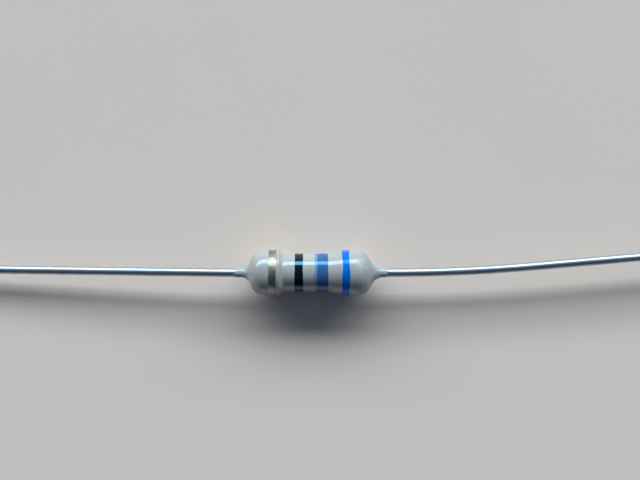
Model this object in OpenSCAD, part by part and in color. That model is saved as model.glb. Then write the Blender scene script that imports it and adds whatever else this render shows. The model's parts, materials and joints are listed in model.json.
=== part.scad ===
// Axial film resistor, lying on a flat surface with its two leads drawn out to
// either side. A carbon film on a ceramic rod is gripped by two drawn end caps,
// a wire is welded to each cap, and a lacquer coating carries the colour bands.
// Millimetres. X runs along the body, Z is up, Z = 0 is the supporting surface.
// Each turned piece is drawn in the half plane [radius, station], where the
// station is the distance along the body from its middle.

/* [Ceramic rod] */
// Diameter of the rod
rod_d = 1.68; // [1.3:0.02:2.2]
// Length of the rod
rod_length = 5.3; // [4.6:0.1:7]
// Chamfer on both ends of the rod
rod_chamfer = 0.2; // [0.12:0.01:0.28]
// Distance of the rod's middle from the body's middle
rod_shift = -0.1; // [-0.3:0.05:0.3]

/* [Carbon film] */
// Thickness of the film, drawn thicker than the few microns of a real one
film_t = 0.04; // [0.03:0.005:0.08]
// Turns of the spiral cut that trims the resistance
cut_turns = 4; // [2:0.5:5]
// Width of the spiral cut
cut_w = 0.12; // [0.08:0.01:0.18]
// Film left whole between each cap and the spiral cut
cut_margin = 0.3; // [0.2:0.05:0.6]

/* [End caps] */
// Sheet thickness of a cap
cap_wall = 0.2; // [0.12:0.01:0.28]
// Overall length of a cap
cap_length = 1.25; // [0.9:0.05:1.5]
// Room between the rod's chamfer and the inside corner of a cap
cap_corner_room = 0.02; // [0.01:0.01:0.06]

/* [Lead wires] */
// Diameter of the wire
lead_d = 0.43; // [0.35:0.01:0.6]
// Length of each lead, from its cap to its tip
lead_length = 28; // [26:0.5:36]
// Diameter of the upset head that is welded to the cap
head_d = 0.72; // [0.64:0.02:0.9]
// Thickness of the rim of the head
head_rim = 0.08; // [0.05:0.01:0.12]
// Length over which the head narrows to the wire
head_cone = 0.1; // [0.06:0.01:0.14]
// Radius that the wire loses where it is bent
bend_thinning = 0.001; // [0.001:0.001:0.003]

/* [Left lead] */
// Angle by which the lead swings sideways, seen from above
left_swing_angle = 0.75; // [0.25:0.25:3]
// Distance from the cap to the sideways bend
left_swing_at = 1.6; // [1.55:0.05:1.8]
// Radius of the sideways bend
left_swing_r = 40; // [20:5:50]
// Distance from the cap to the bend that lowers the tip
left_drop_at = 2.8; // [2.7:0.1:6]
// Radius of the bend that lowers the tip
left_drop_r = 30; // [15:5:40]

/* [Right lead] */
// Angle by which the lead swings sideways, seen from above
right_swing_angle = 4.92; // [0.5:0.02:5.5]
// Distance from the cap to the sideways bend
right_swing_at = 4.8; // [4.8:0.1:6]
// Radius of the sideways bend
right_swing_r = 85; // [20:5:85]
// Distance from the cap to the bend that lowers the tip
right_drop_at = 17.2; // [15:0.1:18]
// Radius of the bend that lowers the tip
right_drop_r = 80; // [20:5:80]

/* [Lacquer coating] */
// Thickness over the film, between the caps
coat_on_film = 0.105; // [0.08:0.005:0.16]
// Thickness over the caps, where the coating is widest
coat_on_caps = 0.12; // [0.11:0.005:0.2]
// Thickness under the tolerance band
coat_under_tolerance = 0.08; // [0.07:0.005:0.085]
// Thickness at the rim of the right cap
coat_at_rim = 0.055; // [0.05:0.005:0.075]
// Thickness of the skin that creeps along the leads
coat_skin = 0.025; // [0.02:0.005:0.05]
// Reach of the skin along the left lead, from the cap
left_creep = 1.15; // [0.8:0.05:1.25]
// Reach of the skin along the right lead, from the cap
right_creep = 1.1; // [1:0.05:1.12]

/* [Coating, left end] */
// Distance from the cap out to the neck
left_neck_reach = 0.39; // [0.36:0.01:0.5]
// Distance from the cap back to the shoulder
left_shoulder_set = 0.02; // [0:0.01:0.04]
// Rounding of the neck
left_neck_round = 0.4; // [0.1:0.05:0.45]
// Rounding of the shoulder
left_shoulder_round = 0.75; // [0.5:0.05:0.75]
// Distance from the ridge to the rim of the cap
ridge_to_rim = 0.04; // [0.02:0.01:0.08]
// Width of the top of the ridge
ridge_width = 0.06; // [0.04:0.01:0.12]
// Length of the ramp up to the ridge
ridge_ramp = 0.06; // [0.04:0.01:0.12]
// Rounding of the ridge
ridge_round = 0.08; // [0.02:0.01:0.1]
// Length of the fall from the ridge to the barrel
ridge_fall = 0.22; // [0.18:0.01:0.5]
// Rounding at the foot of the fall
fall_round = 0.3; // [0.1:0.05:0.4]

/* [Coating, right end] */
// Length of the flare from the barrel up to the rim of the cap
flare_length = 0.74; // [0.3:0.02:1]
// Distance from the rim of the cap to the crown
crown_rise = 0.62; // [0.4:0.02:0.7]
// Rounding of the flare and the crown
flare_round = 0.8; // [0.2:0.1:1.2]
// Distance from the cap back to the shoulder
right_shoulder_set = 0.09; // [0.05:0.01:0.12]
// Rounding of the shoulder
right_shoulder_round = 0.75; // [0.5:0.05:0.75]
// Distance from the cap out to the neck
right_neck_reach = 0.52; // [0.45:0.01:0.7]
// Rounding of the neck
right_neck_round = 0.7; // [0.2:0.05:0.8]

/* [Colour bands] */
// Thickness of the ink
ink_t = 0.025; // [0.015:0.005:0.035]
// Width of the tolerance band
tolerance_w = 0.38; // [0.2:0.01:0.4]
// Distance from the middle of the tolerance band to the rim of the left cap
tolerance_from_rim = 0.375; // [0.37:0.01:0.45]
// Width of the multiplier band
multiplier_w = 0.44; // [0.2:0.01:0.6]
// Place of the multiplier band, as a share of the way from cap to cap
multiplier_share = 0.31; // [0.25:0.01:0.4]
// Width of the second digit's band
second_w = 0.57; // [0.2:0.01:0.6]
// Place of the second digit's band, as a share of the way from cap to cap
second_share = 0.69; // [0.62:0.01:0.72]
// Width of the first digit's band
first_w = 0.37; // [0.2:0.01:0.4]
// Distance from the rim of the right cap to the middle of the first digit's band
first_from_rim = 0.195; // [0.18:0.01:0.21]

/* [Hidden] */

// Radii, from the rod outwards
rod_r = rod_d / 2;
film_r = rod_r + film_t;
cap_r = film_r + cap_wall;
barrel_r = film_r + coat_on_film;
crown_r = cap_r + coat_on_caps;
tolerance_seat_r = cap_r + coat_under_tolerance;
lead_r = lead_d / 2;
skin_r = lead_r + coat_skin;

// Stations along the body
rod_left = rod_shift - rod_length / 2;
rod_right = rod_shift + rod_length / 2;
face_left = rod_left - cap_wall;
face_right = rod_right + cap_wall;
rim_left = face_left + cap_length;
rim_right = face_right - cap_length;
bare_length = rim_right - rim_left;

// The cap's corners follow the rod's chamfer, with the same sheet thickness all round
cap_corner_in = rod_chamfer - cap_corner_room;
cap_corner_out = cap_corner_in + cap_wall;

// The body lies on its widest rings, so its axis stands one crown radius up
axis_height = crown_r;

// How far the bends' ends lie inside the straight runs that they join
run_lap = 0.02;

// The most of a line that the roundings at its two ends may take
rounding_share = 0.97;

// Smoothness: segments round the body, round a wire and to one turn of the cut,
// and the angle of one step of a rounding
body_segments = 96;
wire_segments = 32;
cut_segments = 24;
rounding_step_angle = 8;

// ---- Outlines ----

function unit(v) = v / norm(v);

function turned_by(v, angle) =
    [v.x * cos(angle) - v.y * sin(angle), v.x * sin(angle) + v.y * cos(angle)];

function corner(c, i) = [c[i].x, c[i].y];

// Half of the angle between the two lines that meet at corner i
function half_angle(c, i) =
    acos(unit(corner(c, i - 1) - corner(c, i)) * unit(corner(c, i + 1) - corner(c, i))) / 2;

// Length that corner i's rounding takes from each of its lines; the ends have none
function taken(c, i) =
    i == 0 || i == len(c) - 1 || c[i].z == 0 ? 0 : c[i].z / tan(half_angle(c, i));

// The share of their roundings that the two ends of line j keep, where it is too short for both
function share(c, j) =
    min(1, rounding_share * norm(corner(c, j + 1) - corner(c, j)) / (taken(c, j) + taken(c, j + 1)));

function corner_points(c, i) =
    let (
        p = corner(c, i),
        before = unit(corner(c, i - 1) - p),
        after = unit(corner(c, i + 1) - p),
        half = half_angle(c, i),
        back = taken(c, i) * min(share(c, i - 1), share(c, i)),
        centre = p + unit(before + after) * back / cos(half),
        sweep = 180 - 2 * half,
        way = cross(before, after) > 0 ? -1 : 1,
        steps = ceil(sweep / rounding_step_angle)
    )
    [for (k = [0:steps]) centre + turned_by(p + before * back - centre, way * sweep * k / steps)];

// A line through corners [x, y, rounding]
function rounded(c) = [
    for (i = [0:len(c) - 1])
        each taken(c, i) == 0 ? [corner(c, i)] : corner_points(c, i)
];

function coating_line() = rounded([
    [skin_r, face_left - left_creep, 0],
    [skin_r, face_left - left_neck_reach, left_neck_round],
    [tolerance_seat_r, face_left + left_shoulder_set, left_shoulder_round],
    [tolerance_seat_r, rim_left - ridge_to_rim - ridge_width - ridge_ramp, ridge_round],
    [crown_r, rim_left - ridge_to_rim - ridge_width, ridge_round],
    [crown_r, rim_left - ridge_to_rim, ridge_round],
    [barrel_r, rim_left - ridge_to_rim + ridge_fall, fall_round],
    [barrel_r, rim_right - flare_length, flare_round],
    [cap_r + coat_at_rim, rim_right, flare_round],
    [crown_r, rim_right + crown_rise, flare_round],
    [crown_r, face_right - right_shoulder_set, right_shoulder_round],
    [skin_r, face_right + right_neck_reach, right_neck_round],
    [skin_r, face_right + right_creep, 0]
]);

module coating_outline()
    polygon([
        [0, face_left - left_creep],
        each coating_line(),
        [0, face_right + right_creep]
    ]);

// Outline of a cup with its closed end at station 0 and its mouth at station length
module cup_outline(radius, length, corner_r)
    polygon(rounded([
        [0, 0, 0], [radius, 0, corner_r], [radius, length, 0], [0, length, 0]
    ]));

// Outline of the upset head and the straight start of a lead, from the cap outwards;
// back carries the head's rim on into the cap
module lead_root_outline(length, back = 0)
    polygon([
        [0, -back], [head_d / 2, -back], [head_d / 2, head_rim],
        [lead_r, head_rim + head_cone], [lead_r, length], [0, length]
    ]);

module left_cap_outline(radius, length, corner_r)
    translate([0, face_left])
        cup_outline(radius, length, corner_r);

module right_cap_outline(radius, length, corner_r)
    translate([0, face_right])
        mirror([0, 1])
            cup_outline(radius, length, corner_r);

// All that the lacquer covers, in one outline whose parts run on into each other
module core_outline() {
    left_cap_outline(cap_r, cap_length, cap_corner_out);
    right_cap_outline(cap_r, cap_length, cap_corner_out);
    translate([0, rod_left]) square([film_r, rod_length]);
    translate([0, face_left]) mirror([0, 1]) lead_root_outline(left_creep, cap_wall);
    translate([0, face_right]) lead_root_outline(right_creep, cap_wall);
}

// ---- Placing ----

// Turns an outline in [radius, station] about the body's axis
module turned()
    rotate([0, 90, 0])
        rotate_extrude($fn = body_segments)
            children();

// Angle that lets a lead's tip touch the surface, for a free length beyond its bend
function drop_angle(free) =
    asin(axis_height / norm([free, lead_r])) - atan(lead_r / free);

// Where a lead's tip lies, from its root: [out along the body, sideways, down]
function tip_offset(swing, swing_at, drop_at) =
    let (
        free = lead_length - drop_at,
        drop = drop_angle(free),
        level = drop_at - swing_at + free * cos(drop)
    )
    [swing_at + level * cos(swing), level * sin(swing), free * sin(drop)];

// How far a tip's flat end reaches past its centre, out along the body and sideways
function tip_reach(swing, drop_at) =
    let (drop = drop_angle(lead_length - drop_at))
    [
        lead_r * sqrt(1 - pow(cos(drop) * cos(swing), 2)),
        lead_r * sqrt(1 - pow(cos(drop) * sin(swing), 2))
    ];

left_tip = tip_offset(left_swing_angle, left_swing_at, left_drop_at);
right_tip = tip_offset(right_swing_angle, right_swing_at, right_drop_at);
left_reach = tip_reach(left_swing_angle, left_drop_at);
right_reach = tip_reach(right_swing_angle, right_drop_at);

reach_back = face_left - left_tip.x - left_reach.x;
reach_front = face_right + right_tip.x + right_reach.x;
reach_side = max(left_tip.y + left_reach.y, right_tip.y + right_reach.y);

// Puts the finished resistor's footprint round the origin, standing on Z = 0
module placed()
    translate([
        -(reach_back + reach_front) / 2,
        -(reach_side - crown_r) / 2,
        axis_height
    ])
        children();

// ---- Wire runs, each drawn along X and handing its far end on to the next ----

module wire_root(length) {
    turned() lead_root_outline(length);
    translate([length, 0, 0]) children();
}

module wire_straight(length) {
    rotate([0, 90, 0]) cylinder(h = length, r = lead_r, $fn = wire_segments);
    translate([length, 0, 0]) children();
}

// A bend of the given radius, towards +Y when towards is 0 and down when it is -90
module wire_bend(radius, angle, towards) {
    lap = run_lap / radius * 180 / PI;
    rotate([towards, 0, 0]) {
        translate([0, radius, 0])
            rotate_extrude(angle = angle + 2 * lap, start = -90 - lap, $fn = body_segments)
                translate([radius, 0])
                    circle(r = lead_r - bend_thinning, $fn = wire_segments);
        translate([radius * sin(angle), radius * (1 - cos(angle)), 0])
            rotate([0, 0, angle])
                rotate([-towards, 0, 0])
                    children();
    }
}

// A whole lead along +X: root, sideways bend, straight, lowering bend, straight to the tip
module lead(swing, swing_at, swing_r, swing_towards, drop_at, drop_r) {
    free = lead_length - drop_at;
    drop = drop_angle(free);
    swing_takes = swing_r * tan(swing / 2);
    drop_takes = drop_r * tan(drop / 2);
    wire_root(swing_at - swing_takes)
        wire_bend(swing_r, swing, swing_towards)
            wire_straight(drop_at - swing_at - swing_takes - drop_takes)
                wire_bend(drop_r, drop, -90)
                    wire_straight(free - drop_takes);
}

// ---- The pieces ----

module ceramic_rod()
    color("ivory")
        placed() turned()
            polygon([
                [0, rod_left],
                [rod_r - rod_chamfer, rod_left],
                [rod_r, rod_left + rod_chamfer],
                [rod_r, rod_right - rod_chamfer],
                [rod_r - rod_chamfer, rod_right],
                [0, rod_right]
            ]);

// A square-edged ribbon wound round the rod, as deep as the film and a little more
module spiral_cut() {
    inner = rod_r - film_t;
    outer = film_r + film_t;
    start = rim_left + cut_margin;
    length = bare_length - 2 * cut_margin;
    steps = ceil(cut_turns * cut_segments);
    rings = [
        for (i = [0:steps])
            let (a = 360 * cut_turns * i / steps, x = start + length * i / steps)
            each [
                [x - cut_w / 2, inner * cos(a), inner * sin(a)],
                [x - cut_w / 2, outer * cos(a), outer * sin(a)],
                [x + cut_w / 2, outer * cos(a), outer * sin(a)],
                [x + cut_w / 2, inner * cos(a), inner * sin(a)]
            ]
    ];
    sides = [
        for (i = [0:steps - 1], k = [0:3])
            let (a = 4 * i + k, b = 4 * i + (k + 1) % 4)
            each [[a, b, b + 4], [a, b + 4, a + 4]]
    ];
    last = 4 * steps;
    polyhedron(rings, concat(sides, [[3, 2, 1, 0], [last, last + 1, last + 2, last + 3]]));
}

module carbon_film()
    color("dimgray")
        placed()
            difference() {
                turned()
                    translate([rod_r, rod_left + rod_chamfer])
                        square([film_t, rod_length - 2 * rod_chamfer]);
                spiral_cut();
            }

module end_cap_left()
    color("silver")
        placed() turned()
            difference() {
                left_cap_outline(cap_r, cap_length, cap_corner_out);
                translate([0, cap_wall])
                    left_cap_outline(film_r, cap_length, cap_corner_in);
            }

module end_cap_right()
    color("silver")
        placed() turned()
            difference() {
                right_cap_outline(cap_r, cap_length, cap_corner_out);
                translate([0, -cap_wall])
                    right_cap_outline(film_r, cap_length, cap_corner_in);
            }

module lead_wire_left()
    color("gainsboro")
        placed()
            translate([face_left, 0, 0])
                rotate([0, 0, 180])
                    lead(left_swing_angle, left_swing_at, left_swing_r, 180, left_drop_at, left_drop_r);

module lead_wire_right()
    color("gainsboro")
        placed()
            translate([face_right, 0, 0])
                lead(right_swing_angle, right_swing_at, right_swing_r, 0, right_drop_at, right_drop_r);

module lacquer_coating()
    color("lightgray")
        placed() turned()
            difference() {
                coating_outline();
                core_outline();
            }

// A ring of ink that follows the coating under it
module band(middle, width)
    placed() turned()
        intersection() {
            difference() {
                translate([ink_t, 0]) coating_outline();
                coating_outline();
            }
            translate([lead_r, middle - width / 2]) square([crown_r, width]);
        }

module band_gold()
    color("darkgoldenrod")
        band(rim_left - tolerance_from_rim, tolerance_w);

module band_black()
    color("black")
        band(rim_left + multiplier_share * bare_length, multiplier_w);

module band_grey()
    color("slategray")
        band(rim_left + second_share * bare_length, second_w);

module band_blue()
    color("royalblue")
        band(rim_right + first_from_rim, first_w);

ceramic_rod();
carbon_film();
end_cap_left();
end_cap_right();
lead_wire_left();
lead_wire_right();
lacquer_coating();
band_gold();
band_black();
band_grey();
band_blue();
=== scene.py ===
import json
import math

import bpy
from mathutils import Matrix, Vector, noise


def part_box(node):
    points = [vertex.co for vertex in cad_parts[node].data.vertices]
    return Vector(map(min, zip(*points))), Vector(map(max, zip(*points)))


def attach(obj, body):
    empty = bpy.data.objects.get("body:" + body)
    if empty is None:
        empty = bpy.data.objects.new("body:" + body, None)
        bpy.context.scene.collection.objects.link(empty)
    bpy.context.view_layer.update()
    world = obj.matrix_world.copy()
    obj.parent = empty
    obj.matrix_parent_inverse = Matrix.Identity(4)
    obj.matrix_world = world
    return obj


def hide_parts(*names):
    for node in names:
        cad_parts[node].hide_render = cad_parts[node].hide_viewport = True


# A small axial resistor on a pale table: a dog-bone body dipped in lacquer, four
# printed colour bands, and a tinned wire out of each end. Metres, in the part's own
# frame: X runs along the body, Z is up and Z = 0 is the table. A station is a place
# along X, and an angle goes round the body's axis from +Y towards +Z.

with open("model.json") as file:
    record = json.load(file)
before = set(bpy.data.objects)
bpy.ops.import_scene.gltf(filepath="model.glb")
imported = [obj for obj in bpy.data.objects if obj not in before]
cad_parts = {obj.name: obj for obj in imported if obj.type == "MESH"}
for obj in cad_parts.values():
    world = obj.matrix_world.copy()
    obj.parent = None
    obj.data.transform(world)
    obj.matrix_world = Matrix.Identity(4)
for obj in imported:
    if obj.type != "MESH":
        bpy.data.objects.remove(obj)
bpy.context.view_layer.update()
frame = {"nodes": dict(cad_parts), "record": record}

mm = 0.001

# ---- Sizes that come from the frame ----


def radius_of(node):
    """Radius of a solid of the body, which is half its height."""
    low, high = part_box(node)
    return (high.z - low.z) / 2


rod_low, rod_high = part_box("ceramic_rod")
axis_y = (rod_low.y + rod_high.y) / 2
axis_z = (rod_low.z + rod_high.z) / 2

face_left, rim_left = (corner.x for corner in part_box("end_cap_left"))
rim_right, face_right = (corner.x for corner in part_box("end_cap_right"))
skin_left, skin_right = (corner.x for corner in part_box("lacquer_coating"))
middle = (face_left + face_right) / 2

mounts = {mount["name"]: mount for mount in frame["record"]["mounts"]}
lead_r = mounts["lead_left"]["dims"]["r_mm"] * mm

# Thickness of the ink on the solids
solid_ink = 0.025 * mm

film_r = radius_of("carbon_film")
cap_r = radius_of("end_cap_left")
crown_r = radius_of("lacquer_coating")
barrel_r = radius_of("band_black") - solid_ink
tolerance_seat_r = radius_of("band_gold") - solid_ink
head_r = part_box("lead_wire_left")[1].z - axis_z

# ---- Sizes of the finish ----

# Corner of the end caps, under the coating
cap_corner = 0.38 * mm

# Upset head of each wire, against its cap
head_rim = 0.08 * mm
head_cone = 0.10 * mm

# Skin of lacquer that creeps out along the wires, and the taper at its ragged end
skin_t = 0.025 * mm
skin_edge_t = 0.004 * mm
skin_taper = 0.16 * mm

# How far its ragged end may run back, and how far from the caps the rag is full grown
skin_ragged = 0.05 * mm
rag_growth = 1 * mm

# Coating over the left cap, from the neck to the foot of the ridge
left_neck_reach = 0.44 * mm
left_neck_round = 0.50 * mm
left_shoulder_set = -0.03 * mm
left_shoulder_round = 0.75 * mm
ridge_to_rim = 0.04 * mm
ridge_width = 0.06 * mm
ridge_ramp = 0.06 * mm
ridge_round = 0.08 * mm
ridge_fall = 0.22 * mm
fall_round = 0.30 * mm

# Coating from the barrel to the right neck
flare_length = 0.74 * mm
coat_at_rim = 0.055 * mm
crown_rise = 0.62 * mm
flare_round = 0.80 * mm
right_shoulder_set = 0.09 * mm
right_shoulder_round = 0.75 * mm
right_neck_reach = 0.52 * mm
right_neck_round = 0.70 * mm

# The most that the dipped coating falls short of a true turned surface, and how thick a
# cover over the wire has to be before it may fall short so far
coat_slack = 0.010 * mm
slack_cover = 0.3 * mm

# Ripples of the dip: their length along the body, how busy they are round it, and where
# in the noise they are taken from
slow_ripple = (1.6 * mm, 0.8, 3.1)
quick_ripple = (0.7 * mm, 2.0, 8.6)
rag_ripple = (9 * mm, 1.7, 5.3)

# The right shoulder leans: back towards the body on its +Y side, and out on the other
right_lean = 0.045 * mm
right_lean_set = 0.020 * mm
right_lean_station = 2.80 * mm
right_lean_reach = 0.50 * mm

# Printed ink: its thickness, the width of its soft edge, and the share of that width
# that counts as passed at the very edge, so that the ink starts with some height
ink_t = 0.014 * mm
ink_edge = 0.035 * mm
ink_edge_share = 0.12

# How far the ink's edge wanders, and in which ripples
ink_wander = 0.014 * mm
wander_ripple = (0.2 * mm, 3)
quiver_ripple = (0.1 * mm, 9)

# Left and right edge of each band: how far it leans towards the right end on its +Y
# side, how far it swells towards the right end, and at which angle it swells
gold_edges = ((0.0, 0.0, 0.0), (0.022 * mm, -0.018 * mm, math.radians(120)))
black_edges = ((0.018 * mm, 0.0, 0.0), (-0.006 * mm, -0.018 * mm, math.radians(78)))
grey_edges = ((0.006 * mm, 0.006 * mm, math.radians(75)), (-0.008 * mm, 0.0, 0.0))
blue_edges = (
    (-0.004 * mm, 0.032 * mm, math.radians(72)), (-0.010 * mm, 0.044 * mm, math.radians(92))
)
swell_narrowness = 20

# Faint trace that the second digit's band leaves on its left side
trace_w = 0.125 * mm
trace_t = 0.004 * mm

# Radius of each wire's sideways bend
left_swing_r = 40 * mm
right_swing_r = 85 * mm

# Nipped tip of a wire
nip_length = 0.05 * mm
nip_share = 0.82

# ---- Smoothness ----

# A rounding takes up at most this share of the stretch beside it, and points closer
# than the weld become one
body_sides = 160
wire_sides = 48
arc_step = math.radians(3)
longest_step = 0.09 * mm
wire_pace = 0.30 * mm
bend_steps = 32
band_rows = 14
smooth_angle = math.radians(40)
rounding_share = 0.97
weld = 0.001 * mm

# ---- Outlines ----


def rounded(corners):
    """Points of a line through corners (station, radius, rounding)."""
    places = [Vector(corner[:2]) for corner in corners]
    last = len(places) - 1

    def half_angle(i):
        return (places[i - 1] - places[i]).angle(places[i + 1] - places[i]) / 2

    def taken(i):
        return corners[i][2] / math.tan(half_angle(i)) if 0 < i < last else 0

    def share(j):
        wanted = taken(j) + taken(j + 1)
        room = rounding_share * (places[j + 1] - places[j]).length
        return min(1, room / wanted) if wanted else 1

    line = []
    for i, place in enumerate(places):
        if not taken(i):
            line.append(place)
            continue
        before = (places[i - 1] - place).normalized()
        after = (places[i + 1] - place).normalized()
        back = taken(i) * min(share(i - 1), share(i))
        centre = place + (before + after).normalized() * back / math.cos(half_angle(i))
        sweep = math.pi - 2 * half_angle(i)
        way = -1 if before.cross(after) > 0 else 1
        steps = math.ceil(sweep / arc_step)
        for k in range(steps + 1):
            turn = Matrix.Rotation(way * sweep * k / steps, 2)
            line.append(centre + turn @ (place + before * back - centre))
    return line


def with_steps(line, longest):
    """The same line with more points, so that no step of it is long."""
    points = [line[0]]
    for before, after in zip(line, line[1:]):
        steps = math.ceil((after - before).length / longest)
        points += [before.lerp(after, k / steps) for k in range(1, steps + 1)]
    return points


skin_r = lead_r + skin_t

coat_line = with_steps(rounded([
    (skin_left, lead_r + skin_edge_t, 0),
    (skin_left + skin_taper, skin_r, 0),
    (face_left - left_neck_reach, skin_r, left_neck_round),
    (face_left + left_shoulder_set, tolerance_seat_r, left_shoulder_round),
    (rim_left - ridge_to_rim - ridge_width - ridge_ramp, tolerance_seat_r, ridge_round),
    (rim_left - ridge_to_rim - ridge_width, crown_r, ridge_round),
    (rim_left - ridge_to_rim, crown_r, ridge_round),
    (rim_left - ridge_to_rim + ridge_fall, barrel_r, fall_round),
    (rim_right - flare_length, barrel_r, flare_round),
    (rim_right, cap_r + coat_at_rim, flare_round),
    (rim_right + crown_rise, crown_r, flare_round),
    (face_right - right_shoulder_set, crown_r, right_shoulder_round),
    (face_right + right_neck_reach, skin_r, right_neck_round),
    (skin_right - skin_taper, skin_r, 0),
    (skin_right, lead_r + skin_edge_t, 0),
]), longest_step)

# What the coating covers, from right to left
core_line = rounded([
    (skin_right, lead_r, 0),
    (face_right + head_rim + head_cone, lead_r, 0),
    (face_right + head_rim, head_r, 0),
    (face_right, head_r, 0),
    (face_right, cap_r, cap_corner),
    (rim_right, cap_r, 0),
    (rim_right, film_r, 0),
    (rim_left, film_r, 0),
    (rim_left, cap_r, 0),
    (face_left, cap_r, cap_corner),
    (face_left, head_r, 0),
    (face_left - head_rim, head_r, 0),
    (face_left - head_rim - head_cone, lead_r, 0),
    (skin_left, lead_r, 0),
])


def ripple(station, angle, along, around, seed):
    """A smooth random number, from -1 to 1, that closes on itself round the body."""
    return noise.noise(Vector((
        station / along + seed, around * math.cos(angle), around * math.sin(angle)
    )))


def coat_short_fall(station, angle):
    """How far the coating lies inside a true turned surface."""
    slow = ripple(station, angle, *slow_ripple)
    quick = ripple(station, angle, *quick_ripple)
    return coat_slack * (0.5 + 0.35 * slow + 0.10 * quick)


def shoulder_shift(station, angle):
    """How far the right shoulder lies towards the body's middle from a true turned one."""
    away = (station - middle - right_lean_station) / right_lean_reach
    return (right_lean_set + right_lean * math.cos(angle)) * max(0, 1 - away * away)


def coat_radius(station):
    """Radius of the coating at a station, straight between the points of its line."""
    for before, after in zip(coat_line, coat_line[1:]):
        if station <= after.x:
            share = (station - before.x) / (after.x - before.x)
            return before.y + (after.y - before.y) * share
    return coat_line[-1].y


def round_axis(station, radius, angle):
    """The place at a station, at a radius and an angle about the body's axis."""
    return Vector((
        station, axis_y + radius * math.cos(angle), axis_z + radius * math.sin(angle)
    ))


def seen_along_axis(place):
    """Radius and angle of a place, about the body's axis."""
    across = Vector((place.y - axis_y, place.z - axis_z))
    return across.length, math.atan2(across.y, across.x)


# ---- Modelling ----


def deselect_all():
    bpy.ops.object.select_all(action="DESELECT")


def start_piece(name, place):
    """A new piece of one vertex, open for editing."""
    deselect_all()
    bpy.ops.mesh.primitive_plane_add(size=lead_r, location=place)
    bpy.ops.object.transform_apply(location=True, rotation=False, scale=False)
    piece = bpy.context.object
    piece.name = piece.data.name = name
    bpy.ops.object.mode_set(mode="EDIT")
    bpy.ops.mesh.select_all(action="SELECT")
    bpy.ops.mesh.merge(type="CENTER")
    return piece


def end_piece():
    """Welds the piece that is open, turns its faces outwards and smooths it."""
    bpy.ops.mesh.select_all(action="SELECT")
    bpy.ops.mesh.remove_doubles(threshold=weld)
    bpy.ops.mesh.normals_make_consistent(inside=False)
    bpy.ops.object.mode_set(mode="OBJECT")
    bpy.ops.object.shade_smooth_by_angle(angle=smooth_angle)


def turned(name, outline):
    """A closed outline of (station, radius) points, drawn in edges and spun about the axis."""
    places = [round_axis(point.x, point.y, 0) for point in [*outline, outline[0]]]
    piece = start_piece(name, places[0])
    for before, after in zip(places, places[1:]):
        bpy.ops.mesh.extrude_vertices_move(
            TRANSFORM_OT_translate={"value": after - before}
        )
    bpy.ops.mesh.select_all(action="SELECT")
    bpy.ops.mesh.remove_doubles(threshold=weld)
    bpy.ops.mesh.spin(
        steps=body_sides, angle=math.tau, center=(0, axis_y, axis_z), axis=(1, 0, 0)
    )
    end_piece()
    return piece


def part_of_object(piece, node, finish):
    """Lets a piece stand for a solid of the frame, in a finish of its own."""
    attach(piece, "root")
    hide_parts(node)
    piece.data.materials.clear()
    piece.data.materials.append(finish)


# ---- Coating ----


def settle_coating(piece):
    """Gives the turned coating the unevenness of a dipped one, and leaves its inside alone."""
    neck_r = film_r / 2
    for vertex in piece.data.vertices:
        radius, angle = seen_along_axis(vertex.co)
        station = vertex.co.x
        outer_r = coat_radius(station)
        if radius < outer_r - skin_edge_t / 2:
            continue
        if outer_r < neck_r:
            thinness = min(1, (neck_r - outer_r) / (neck_r - skin_r))
            rag = thinness * skin_ragged * max(0, ripple(station, angle, *rag_ripple) + 0.5)
            past_caps = max(face_left - station, station - face_right)
            grown = min(1, max(0, past_caps / rag_growth))
            station += math.copysign(rag * grown, middle - station)
        cover = outer_r - lead_r
        slack = coat_short_fall(station, angle) * min(1, cover / slack_cover)
        station -= shoulder_shift(station, angle)
        vertex.co = round_axis(station, outer_r - slack, angle)


def lacquer_coating(finish):
    piece = turned("lacquer_coat", coat_line + core_line)
    settle_coating(piece)
    part_of_object(piece, "lacquer_coating", finish)


# ---- Printed bands ----


def ink_lift(station, start, end):
    """Height of the ink over the coating: full in the middle, soft at both edges."""
    inwards = min(station - start, end - station) / ink_edge
    return ink_t * math.sqrt(min(1, max(ink_edge_share, inwards)))


def edge_shift(edge, angle):
    """How far one edge of a band lies from its place, at an angle round the body."""
    lean, swell, swell_angle = edge
    swollen = max(0, math.cos(angle - swell_angle)) ** swell_narrowness
    return lean * math.cos(angle) + swell * swollen


def printed_band(name, node, finish, edges, seed, trace=0):
    """A ring of ink on the coating, with a fainter trace before it if one is asked for."""
    low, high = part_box(node)
    start, end = low.x, high.x
    stations = [
        start - trace + (end - start + trace) * k / band_rows for k in range(band_rows + 1)
    ]

    def lift(station):
        return trace_t if station < start else ink_lift(station, start, end)

    # Drawn as a true ring first, and then laid on the coating
    drawn_r = crown_r
    over = [Vector((station, drawn_r + lift(station))) for station in stations]
    under = [Vector((station, drawn_r)) for station in reversed(stations)]
    piece = turned(name, over + under)
    for vertex in piece.data.vertices:
        radius, angle = seen_along_axis(vertex.co)
        station = vertex.co.x
        wander = ripple(station, angle, *wander_ripple, seed)
        quiver = ripple(station, angle, *quiver_ripple, seed + 2)
        share = min(1, max(0, (station - start) / (end - start)))
        left, right = (edge_shift(edge, angle) for edge in edges)
        station += left + (right - left) * share + ink_wander * (wander + 0.5 * quiver)
        on_coat = coat_radius(station) - coat_short_fall(station, angle)
        vertex.co = round_axis(station, on_coat + radius - drawn_r, angle)
    part_of_object(piece, node, finish)


# ---- Wires ----


def run_on(direction, length):
    """Carries the open wire's last ring straight on."""
    steps = max(1, round(length / wire_pace))
    for _ in range(steps):
        bpy.ops.mesh.extrude_region_move(
            TRANSFORM_OT_translate={"value": direction * length / steps}
        )
    return direction * length


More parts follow.
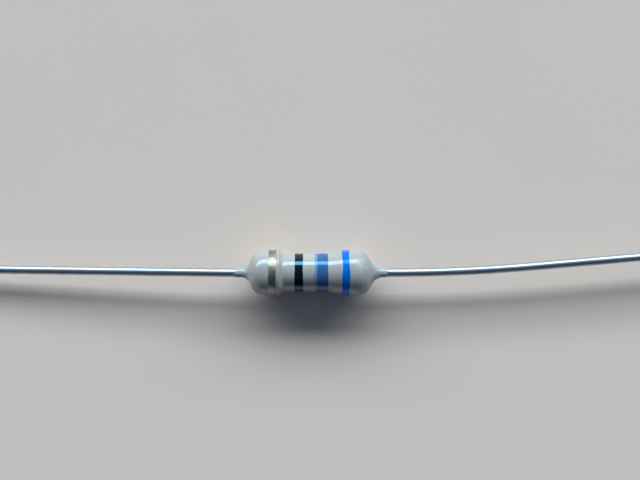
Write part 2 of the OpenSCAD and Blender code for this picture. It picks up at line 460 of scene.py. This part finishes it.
def bend_round(place, before, after, bend_r):
    """Carries the open wire's last ring round a bend, from one direction to the next."""
    axis = before.cross(after).normalized()
    centre = place + axis.cross(before) * bend_r
    angle = before.angle(after)
    bpy.ops.mesh.spin(steps=bend_steps, angle=-angle, center=centre, axis=axis)
    return centre + Matrix.Rotation(angle, 3, axis) @ (place - centre) - place


def narrow_to(place, share):
    """Narrows the open wire's last ring, about its middle."""
    bpy.ops.transform.resize(value=(share, share, share), center_override=place)


def lead_wire(name, node, mount_name, cap_face, swing_r, finish):
    """A wire from its head on the cap, out level, round two bends and down to its tip."""
    mount = mounts[mount_name]
    tip = Vector(mount["pos_m"])
    down = Vector(mount["axis"]).normalized()
    out = Vector((math.copysign(1, down.x), 0, 0))
    level = Vector((down.x, down.y, 0)).normalized()

    # The corners where the three straight runs would meet
    free = (axis_z - tip.z) / -down.z
    drop_corner = tip - down * free
    swing_corner = drop_corner - level * ((drop_corner.y - axis_y) / level.y)
    straight = mount["dims"]["length_mm"] * mm
    drop_back = free - straight
    drop_r = drop_back / math.tan(level.angle(down) / 2)
    swing_back = swing_r * math.tan(out.angle(level) / 2)

    place = Vector((cap_face, axis_y, axis_z))
    deselect_all()
    bpy.ops.mesh.primitive_circle_add(
        vertices=wire_sides, radius=head_r, fill_type="NOTHING",
        location=place, rotation=(0, math.pi / 2, 0),
    )
    bpy.ops.object.transform_apply(location=True, rotation=True, scale=False)
    piece = bpy.context.object
    piece.name = piece.data.name = name
    bpy.ops.object.mode_set(mode="EDIT")
    bpy.ops.mesh.select_all(action="SELECT")

    place = place + run_on(out, head_rim)
    place = place + run_on(out, head_cone)
    narrow_to(place, lead_r / head_r)
    place = place + run_on(out, (swing_corner - place).length - swing_back)
    place = place + bend_round(place, out, level, swing_r)
    place = place + run_on(level, (drop_corner - place).length - drop_back)
    place = place + bend_round(place, level, down, drop_r)
    place = place + run_on(down, straight - nip_length)
    place = place + run_on(down, nip_length)
    narrow_to(place, nip_share)
    bpy.ops.mesh.select_all(action="SELECT")
    bpy.ops.mesh.fill_holes(sides=0)
    end_piece()
    part_of_object(piece, node, finish)


# ---- Finishes ----

# Stretches over which the lacquer changes, in millimetres from the middle of the caps:
# to the dry right cone, to the skins on the wires, and on to all but bare wire
dry_cone = (2.25, 2.70)
left_skin_zone = (-3.45, -3.05)
right_skin_zone = (3.25, 3.55)
left_bare_zone = (-4.02, -3.80)
right_bare_zone = (3.86, 4.06)

# The trace before the grey band: where its thin line gives way to its pale strip, where
# that gives way to the full ink, and how far both wander. Millimetres from the band's edge
line_to_strip = (-0.105, -0.075)
strip_to_ink = (-0.03, 0.03)
trace_wander = 0.04


def shade(red, green, blue):
    """A colour given as it shows on a screen, from 0 to 255, as the shader wants it."""
    def linear(value):
        value = value / 255
        return value / 12.92 if value <= 0.04045 else ((value + 0.055) / 1.055) ** 2.4
    return (linear(red), linear(green), linear(blue), 1)


class Level:
    """A number that varies over a surface. Python's operators on it add Math nodes."""

    def __init__(self, nodes, socket):
        self.nodes = nodes
        self.socket = socket

    def maths(self, operation, *terms):
        return self.nodes.add(
            "ShaderNodeMath", {"operation": operation}, dict(enumerate(terms))
        )

    def __add__(self, other):
        return self.maths("ADD", self, other)

    def __radd__(self, other):
        return self.maths("ADD", other, self)

    def __sub__(self, other):
        return self.maths("SUBTRACT", self, other)

    def __rsub__(self, other):
        return self.maths("SUBTRACT", other, self)

    def __mul__(self, other):
        return self.maths("MULTIPLY", self, other)

    def __rmul__(self, other):
        return self.maths("MULTIPLY", other, self)

    def __truediv__(self, other):
        return self.maths("DIVIDE", self, other)

    def __rtruediv__(self, other):
        return self.maths("DIVIDE", other, self)

    def rising(self, low, high):
        """0 below low, 1 above high, and smooth in between."""
        return self.nodes.add(
            "ShaderNodeMapRange", {"interpolation_type": "SMOOTHSTEP"},
            {"Value": self, "From Min": low, "From Max": high},
        )


class Nodes:
    """The nodes of a material or of the room, and the shader that they feed."""

    def __init__(self, owner, shader):
        owner.use_nodes = True
        self.tree = owner.node_tree
        self.shader = self.tree.nodes[shader]

    def add(self, kind, settings, sockets, output=0):
        """A new node: its settings, then its sockets' values or links, and the output it gives."""
        node = self.tree.nodes.new(kind)
        for name, value in settings.items():
            if name == "stops":
                self.set_stops(node.color_ramp, value)
            else:
                setattr(node, name, value)
        self.fill(node, sockets)
        return Level(self, node.outputs[output])

    def fill(self, node, sockets):
        """Gives a node's sockets their values or links."""
        for name, value in sockets.items():
            if isinstance(value, Level):
                self.tree.links.new(value.socket, node.inputs[name])
            else:
                node.inputs[name].default_value = value

    def set_stops(self, ramp, stops):
        """Gives a ramp its stops, which come in order of their positions."""
        while len(ramp.elements) < len(stops):
            ramp.elements.new(1)
        for element, (position, colour) in zip(ramp.elements, stops):
            element.position = position
            element.color = colour

    def set(self, **sockets):
        """Sets the shader's own sockets, named with _ for a space."""
        self.fill(self.shader, {
            name.replace("_", " "): value for name, value in sockets.items()
        })

    def linked(self, name):
        """What the shader's own socket is fed with."""
        return Level(self, self.shader.inputs[name].links[0].from_socket)

    def mix(self, share, first, second):
        """A colour between two others, by a share from 0 to 1."""
        return self.add(
            "ShaderNodeMix", {"data_type": "RGBA"}, {0: share, 6: first, 7: second}, 2
        )


class Finish(Nodes):
    """One material, patterned by the place on the piece."""

    def __init__(self, name):
        self.material = bpy.data.materials.new(name)
        super().__init__(self.material, "Principled BSDF")
        self.place = self.add("ShaderNodeTexCoord", {}, {}, "Object")

    def scaled(self, along, around):
        """The place on the piece, in steps of one length along the body and one across."""
        return self.add(
            "ShaderNodeMapping", {"vector_type": "TEXTURE"},
            {
                "Vector": self.place,
                "Location": (0, axis_y, axis_z),
                "Scale": (along, around, around),
            },
        )

    def clouds(self, along, around, detail=2, roughness=0.5):
        """Soft noise from 0 to 1, with a size of its own along and across the body."""
        return self.add(
            "ShaderNodeTexNoise", {},
            {
                "Vector": self.scaled(along, around), "Scale": 1.0,
                "Detail": detail, "Roughness": roughness,
            },
        )

    def specks(self, size):
        """Cells about as large as size: how far a place is from its cell's middle."""
        return self.add(
            "ShaderNodeTexVoronoi", {"feature": "F1"},
            {"Vector": self.scaled(size, size), "Scale": 1.0},
        )

    def station(self):
        """The place along the body, in millimetres from the middle of the caps."""
        along = self.add("ShaderNodeSeparateXYZ", {}, {"Vector": self.place}, "X")
        return (along - middle) / mm

    def bumps(self, height, depth, under=None):
        """A normal from a height, on top of another normal if one is given."""
        sockets = {"Height": height, "Distance": depth, "Strength": 1.0}
        if under:
            sockets["Normal"] = under
        return self.add("ShaderNodeBump", {}, sockets, "Normal")


def lacquer_finish():
    """Glossy pale grey lacquer: dry and dusty on the right cone, which is also painted lighter as
    if lit from the side; thin on the wires.
    """
    finish = Finish("dipped_lacquer")
    station = finish.station()
    cone = station.rising(*dry_cone)
    skin = 1 - station.rising(*left_skin_zone) + station.rising(*right_skin_zone)
    bare = 1 - station.rising(*left_bare_zone) + station.rising(*right_bare_zone)

    mottle = finish.clouds(0.55 * mm, 0.55 * mm, 3)
    grain = finish.clouds(0.045 * mm, 0.045 * mm, 2, 0.6)
    pits = 1 - finish.specks(0.09 * mm).rising(0.08, 0.3)
    dust = finish.clouds(0.08 * mm, 0.12 * mm, 3, 0.7).rising(0.46, 0.66)

    body = finish.mix(mottle.rising(0.3, 0.7), shade(181, 179, 174), shade(190, 188, 182))
    body = finish.mix(grain * 0.25, body, shade(150, 153, 154))
    # The right cone is painted lighter: partly the dry lacquer's own tone, partly painted light
    # standing in for light from the right side.
    body = finish.mix(cone * 0.35, body, shade(183, 180, 181))
    body = finish.mix(cone * dust * 0.5, body, shade(130, 126, 127))
    body = finish.mix(cone * pits * 0.4, body, shade(207, 205, 201))
    colour = finish.mix(skin * 0.6, body, shade(171, 184, 191))
    colour = finish.mix(bare * 0.8, colour, shade(208, 213, 216))

    dry = cone * (1 - skin) * (0.42 + 0.14 * dust)
    peel = finish.bumps(finish.clouds(0.26 * mm, 0.26 * mm, 1), 0.0006 * mm)
    fine = finish.bumps(grain * (0.25 + cone) + (cone * pits) * 1.2, 0.0014 * mm, peel)
    finish.set(
        Base_Color=colour,
        Metallic=bare * 0.8,
        Roughness=0.11 + 0.04 * mottle + dry + 0.10 * skin,
        Normal=fine,
        Specular_IOR_Level=0.8,
        # Specular_Tint gives the highlights a painted sky blue: the colour of the light, not of
        # the lacquer.
        Specular_Tint=(0.55, 0.86, 1.0, 1),
    )
    return finish.material


def ink_finish(name, deep, pale, gloss):
    """Opaque printing ink: two near shades in clouds, finely grained, glossy."""
    finish = Finish(name)
    clouds = finish.clouds(0.12 * mm, 0.25 * mm, 3, 0.6)
    grain = finish.clouds(0.02 * mm, 0.03 * mm, 2, 0.6)
    finish.set(
        Base_Color=finish.mix(clouds.rising(0.35, 0.75), deep, pale),
        Roughness=0.10 + 0.05 * grain,
        Normal=finish.bumps(clouds + 0.3 * grain, 0.0016 * mm),
        IOR=1.6,
        Specular_IOR_Level=gloss,
        # Specular_Tint gives the highlights a painted sky blue: the colour of the light, not of
        # the ink.
        Specular_Tint=(0.24, 0.62, 1.0, 1),
    )
    return finish


def black_ink():
    return ink_finish("black_ink", shade(3, 7, 14), shade(8, 15, 27), 1.0).material


def blue_ink():
    return ink_finish("blue_ink", shade(0, 106, 214), shade(0, 126, 230), 0.36).material


def grey_ink():
    """Slate blue-grey ink, with a pale strip and a thin line beyond its left edge."""
    finish = ink_finish("slate_ink", shade(54, 97, 151), shade(70, 114, 168), 0.80)
    solid = finish.linked("Base Color")
    edge = (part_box("band_grey")[0].x - middle) / mm
    wander = (finish.clouds(0.4 * mm, 0.3 * mm, 2) - 0.5) * trace_wander
    from_edge = finish.station() - edge + wander
    line = 1 - from_edge.rising(*line_to_strip)
    strip = 1 - from_edge.rising(*strip_to_ink)
    colour = finish.mix(strip, solid, shade(134, 162, 190))
    finish.set(Base_Color=finish.mix(line * 0.8, colour, shade(92, 123, 155)))
    return finish.material


def gold_ink():
    """Metal flake in a thin binder: pale champagne, streaked round the body."""
    finish = Finish("gold_flake_ink")
    flakes = finish.specks(0.035 * mm)
    streaks = finish.clouds(0.05 * mm, 0.22 * mm, 3, 0.6)
    clouds = finish.clouds(0.10 * mm, 0.13 * mm, 4, 0.65)
    colour = finish.mix(streaks.rising(0.30, 0.70), shade(150, 145, 133), shade(198, 192, 176))
    colour = finish.mix(clouds.rising(0.46, 0.74) * 0.7, colour, shade(76, 72, 70))
    bumps = finish.bumps(flakes * 0.8 + streaks * 0.6, 0.005 * mm)
    finish.set(
        Base_Color=colour,
        Metallic=0.93 + 0.07 * streaks,
        Roughness=0.37 + 0.10 * clouds,
        Normal=bumps,
    )
    return finish.material


def wire_finish():
    """Tin plate on drawn wire: bright, with faint lengthwise drawing lines."""
    finish = Finish("tinned_wire")
    lines = finish.clouds(1.6 * mm, 0.03 * mm, 3, 0.6)
    cloud = finish.clouds(0.7 * mm, 0.2 * mm, 3, 0.6)
    dull = cloud.rising(0.45, 0.75)
    colour = finish.mix(dull, shade(192, 202, 210), shade(168, 178, 187))
    finish.set(
        Base_Color=colour,
        Metallic=1.0,
        Roughness=0.37 + 0.10 * dull + 0.06 * lines,
        Normal=finish.bumps(lines + 0.8 * cloud, 0.001 * mm),
    )
    return finish.material


def cap_finish():
    """Drawn sheet with dull tin plate, marked round by the drawing tool."""
    finish = Finish("cap_plate")
    rings = finish.clouds(0.03 * mm, 0.9 * mm, 3, 0.6)
    cloud = finish.clouds(0.3 * mm, 0.3 * mm, 3)
    colour = finish.mix(cloud.rising(0.35, 0.7), shade(186, 186, 182), shade(206, 206, 202))
    finish.set(
        Base_Color=colour,
        Metallic=1.0,
        Roughness=0.30 + 0.15 * cloud,
        Normal=finish.bumps(rings, 0.002 * mm),
    )
    return finish.material


def ceramic_finish():
    """Fired ceramic rod: matt, warm white, with fine pores."""
    finish = Finish("fired_ceramic")
    cloud = finish.clouds(0.4 * mm, 0.4 * mm, 3)
    pores = 1 - finish.specks(0.06 * mm).rising(0.05, 0.25)
    colour = finish.mix(cloud.rising(0.3, 0.7), shade(222, 216, 204), shade(232, 228, 218))
    colour = finish.mix(pores * 0.5, colour, shade(176, 166, 150))
    finish.set(
        Base_Color=colour,
        Roughness=0.62 + 0.12 * cloud,
        Normal=finish.bumps(1 - pores, 0.003 * mm),
    )
    return finish.material


def carbon_finish():
    """Carbon film: near black with a faint silky gloss."""
    finish = Finish("carbon_film_layer")
    grain = finish.clouds(0.03 * mm, 0.05 * mm, 3, 0.6)
    cloud = finish.clouds(0.5 * mm, 0.5 * mm, 2)
    colour = finish.mix(cloud.rising(0.3, 0.7), shade(38, 38, 42), shade(54, 54, 58))
    finish.set(
        Base_Color=colour,
        Roughness=0.36 + 0.14 * grain,
        Normal=finish.bumps(grain, 0.001 * mm),
    )
    return finish.material


def refinish(node, finish):
    """Gives a solid that is kept as it is its own finish."""
    materials = frame["nodes"][node].data.materials
    materials.clear()
    materials.append(finish)


# ---- The pieces ----

lacquer_coating(lacquer_finish())
printed_band("band_of_gold_ink", "band_gold", gold_ink(), gold_edges, 2.3)
printed_band("band_of_black_ink", "band_black", black_ink(), black_edges, 5.7)
printed_band(
    "band_of_grey_ink", "band_grey", grey_ink(), grey_edges, 9.4, trace_w
)
printed_band("band_of_blue_ink", "band_blue", blue_ink(), blue_edges, 14.2)

wire = wire_finish()
lead_wire("wire_left", "lead_wire_left", "lead_left", face_left, left_swing_r, wire)
lead_wire("wire_right", "lead_wire_right", "lead_right", face_right, right_swing_r, wire)

refinish("ceramic_rod", ceramic_finish())
refinish("carbon_film", carbon_finish())
cap_plate = cap_finish()
refinish("end_cap_left", cap_plate)
refinish("end_cap_right", cap_plate)

# ---- Table, light and camera ----

table_size = 4.0

# The one light: a long rectangle that stands low behind the body
key_distance = 2.0
key_width = 5.6
key_height = 0.80
key_elevation = math.radians(29)
key_power = 109
key_colour = (0.78, 0.91, 1.0)

# The room's colours, and where the side walls come in and the horizon goes over into
# the walls, as squares of the direction's sideways and upward shares
dark_wall = (0.008, 0.018, 0.040, 1)
ceiling = (0.052, 0.086, 0.138, 1)
light_wall = (0.12, 0.16, 0.20, 1)
side_wall = (0.20, 0.21, 0.24, 1)
horizon = (0.24, 0.25, 0.27, 1)
side_wall_blend = (0.5, 1.0)
horizon_blend = (0, 0.03)

# The camera: how wide a strip of the table it sees, how far the middle of that lies from
# the body's, its lens, and from which share of its own distance to how many metres it sees
view_width = 33.0 * mm
aim_right = 0.474 * mm
aim_behind = 1.686 * mm
lens_mm = 100
sensor_mm = 36
nearest_share = 0.05
farthest = 10


def table_finish():
    """Plain pale table, matt, with hardly any pattern."""
    finish = Finish("pale_table")
    cloud = finish.clouds(8 * mm, 8 * mm, 3)
    grain = finish.clouds(0.4 * mm, 0.4 * mm, 3)
    colour = finish.mix(cloud, shade(242, 221, 206), shade(245, 224, 209))
    finish.set(
        Base_Color=colour,
        Roughness=0.75 + 0.1 * grain,
        Specular_IOR_Level=0.3,
    )
    return finish.material


def table():
    deselect_all()
    bpy.ops.mesh.primitive_plane_add(size=table_size, location=(0, 0, 0))
    floor = bpy.context.object
    floor.name = "table"
    floor.data.materials.append(table_finish())


def key_light(aim):
    """One long soft light, low behind the body."""
    away = Vector((0, math.cos(key_elevation), math.sin(key_elevation)))
    bpy.ops.object.light_add(type="AREA", location=aim + away * key_distance)
    lamp = bpy.context.object
    lamp.name = "long_soft_light"
    lamp.rotation_mode = "QUATERNION"
    lamp.rotation_quaternion = away.to_track_quat("Z", "Y")
    lamp.visible_camera = False
    lamp.data.shape = "RECTANGLE"
    lamp.data.size = key_width
    lamp.data.size_y = key_height
    lamp.data.energy = key_power
    lamp.data.color = key_colour


def room():
    """A dim cool room: lighter towards the light, to both sides and low along the horizon."""
    world = bpy.data.worlds.new("dim_room")
    bpy.context.scene.world = world
    nodes = Nodes(world, "Background")
    direction = nodes.add("ShaderNodeTexCoord", {}, {}, "Generated")
    sideways, towards_light, up = (
        nodes.add("ShaderNodeSeparateXYZ", {}, {"Vector": direction}, axis) for axis in "XYZ"
    )
    walls = nodes.add(
        "ShaderNodeValToRGB",
        {"stops": ((0.1, dark_wall), (0.5, ceiling), (0.9, light_wall))},
        {"Fac": 0.5 + 0.5 * towards_light},
    )
    walls = nodes.mix((sideways * sideways).rising(*side_wall_blend), walls, side_wall)
    nodes.set(Color=nodes.mix((up * up).rising(*horizon_blend), horizon, walls))


def camera():
    """Straight down on the body, with the light at the top of the view."""
    aim = Vector((middle + aim_right, axis_y + aim_behind, axis_z))
    distance = view_width * lens_mm / sensor_mm
    bpy.ops.object.camera_add(location=aim + Vector((0, 0, distance)), rotation=(0, 0, 0))
    seen_by = bpy.context.object
    seen_by.name = "overhead_camera"
    seen_by.data.lens = lens_mm
    seen_by.data.sensor_width = sensor_mm
    seen_by.data.clip_start = distance * nearest_share
    seen_by.data.clip_end = farthest
    bpy.context.scene.camera = seen_by


table()
key_light(Vector((middle, axis_y, axis_z)))
room()
camera()

bpy.context.scene.view_settings.view_transform = "Standard"
